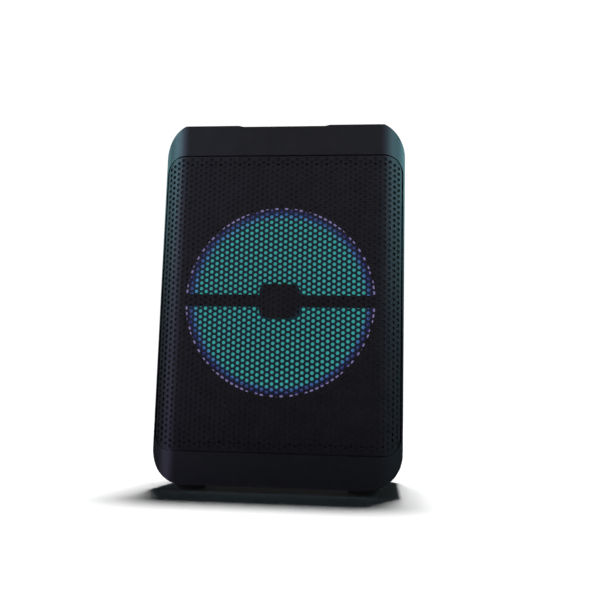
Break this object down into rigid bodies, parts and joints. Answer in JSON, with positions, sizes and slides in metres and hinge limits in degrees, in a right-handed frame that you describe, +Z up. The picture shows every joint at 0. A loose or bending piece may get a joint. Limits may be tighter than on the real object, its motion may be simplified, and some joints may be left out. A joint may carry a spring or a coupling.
{
  "type": "party speaker",
  "caption": "Upright portable party speaker: moulded cabinet, wrapped perforated grille, lit round window with bridge-mounted tweeter, carry handle, rear control panel and bass port.",
  "frame": {"origin": "on the floor, under the middle of the cabinet's box", "axes": "+Z up, the grille faces -Y, +X to the right seen from the front"},
  "size_m": [0.26, 0.22, 0.389],
  "materials": {
    "cabinet": "satin moulded ABS, fine grain",
    "mask": "matte black moulded ABS",
    "grille": "black powder-coated perforated steel, 4 mm holes at 6 mm pitch",
    "panel": "matte black moulded ABS",
    "rubber": "black rubber",
    "steel_screw": "black zinc-plated steel",
    "diffuser": "opal polycarbonate, lit violet and blue",
    "lamp": "surface-mount lamp",
    "board": "solder-masked glass-fibre board",
    "cone": "translucent polypropylene, lit teal from behind",
    "surround": "translucent rubber roll, lit teal",
    "tweeter": "black",
    "frame_steel": "black painted pressed steel",
    "plated_steel": "zinc-plated steel",
    "ferrite": "dark grey ferrite",
    "copper": "copper winding on its former",
    "spider_cloth": "resin-stiffened cloth",
    "aluminium": "extruded, mill finish",
    "shaft_metal": "nickel-plated",
    "knob": "black with fine ribs",
    "button": "satin black",
    "rocker": "red",
    "lens": "smoked acrylic window",
    "battery": "blue shrink wrap",
    "wire_red": "red PVC insulation",
    "wire_black": "black PVC insulation"
  },
  "bodies": {
    "cabinet": {"front_bezel": "cabinet", "rear_shell": "cabinet", "cabinet_seal": "rubber", "cabinet_screws": "steel_screw", "front_grille": "grille", "grille_tape": "rubber", "window_ring": "mask", "window_ring_screws": "steel_screw", "tweeter_frame": "tweeter", "tweeter_dome": "tweeter", "tweeter_magnet": "plated_steel", "tweeter_cover": "mask", "led_diffuser": "diffuser", "led_board": "board", "leds": "lamp", "baffle": "mask", "baffle_screws": "steel_screw", "woofer_basket": "frame_steel", "woofer_screws": "steel_screw", "surround": "surround", "woofer_gasket": "rubber", "spider": "spider_cloth", "woofer_top_plate": "plated_steel", "woofer_magnet": "ferrite", "woofer_yoke": "plated_steel", "port_tube": "cabinet", "handle_well": "cabinet", "handle_grip": "cabinet", "handle_screws": "steel_screw", "control_panel": "panel", "panel_screws": "steel_screw", "display_lens": "lens", "display_module": "board", "button_switches": "button", "potentiometers": "shaft_metal", "power_switch": "panel", "mic_jacks": "shaft_metal", "round_sockets": "button", "usb_socket": "shaft_metal", "amplifier_board": "board", "heat_sink": "aluminium", "battery_pack": "battery", "feet": "rubber", "woofer_wires": "wire_red", "tweeter_wires": "wire_black"},
    "cone_assembly": {"cone": "cone", "dust_cap": "cone", "voice_coil": "copper"},
    "mode_key": {"mode_button": "button"},
    "previous_key": {"previous_button": "button"},
    "play_key": {"play_button": "button"},
    "next_key": {"next_button": "button"},
    "light_key": {"light_button": "button"},
    "volume_control": {"volume_knob": "knob", "volume_shaft": "shaft_metal"},
    "mic_control": {"mic_knob": "knob", "mic_shaft": "shaft_metal"},
    "echo_control": {"echo_knob": "knob", "echo_shaft": "shaft_metal"},
    "power_key": {"power_rocker": "rocker"}
  },
  "joints": [
    {"name": "cone_stroke", "type": "slide", "parent": "cabinet", "child": "cone_assembly", "axis": [0, -1, 0], "range_m": [-0.004, 0.004], "stiffness_N_per_m": 2000, "deforming": ["surround", "spider"]},
    {"name": "mode_press", "type": "slide", "parent": "cabinet", "child": "mode_key", "axis": [0, -1, 0], "range_m": [0, 0.0012], "stiffness_N_per_m": 400},
    {"name": "previous_press", "type": "slide", "parent": "cabinet", "child": "previous_key", "axis": [0, -1, 0], "range_m": [0, 0.0012], "stiffness_N_per_m": 400},
    {"name": "play_press", "type": "slide", "parent": "cabinet", "child": "play_key", "axis": [0, -1, 0], "range_m": [0, 0.0012], "stiffness_N_per_m": 400},
    {"name": "next_press", "type": "slide", "parent": "cabinet", "child": "next_key", "axis": [0, -1, 0], "range_m": [0, 0.0012], "stiffness_N_per_m": 400},
    {"name": "light_press", "type": "slide", "parent": "cabinet", "child": "light_key", "axis": [0, -1, 0], "range_m": [0, 0.0012], "stiffness_N_per_m": 400},
    {"name": "volume_turn", "type": "hinge", "parent": "cabinet", "child": "volume_control", "pos_m": [0.07, 0.094, 0.281], "axis": [0, -1, 0], "range_deg": [-150, 150]},
    {"name": "mic_turn", "type": "hinge", "parent": "cabinet", "child": "mic_control", "pos_m": [0.034, 0.094, 0.281], "axis": [0, -1, 0], "range_deg": [-150, 150]},
    {"name": "echo_turn", "type": "hinge", "parent": "cabinet", "child": "echo_control", "pos_m": [0.004, 0.094, 0.281], "axis": [0, -1, 0], "range_deg": [-150, 150]},
    {"name": "power_tilt", "type": "hinge", "parent": "cabinet", "child": "power_key", "pos_m": [-0.07, 0.093, 0.28], "axis": [-1, 0, 0], "range_deg": [0, 16]}
  ]
}
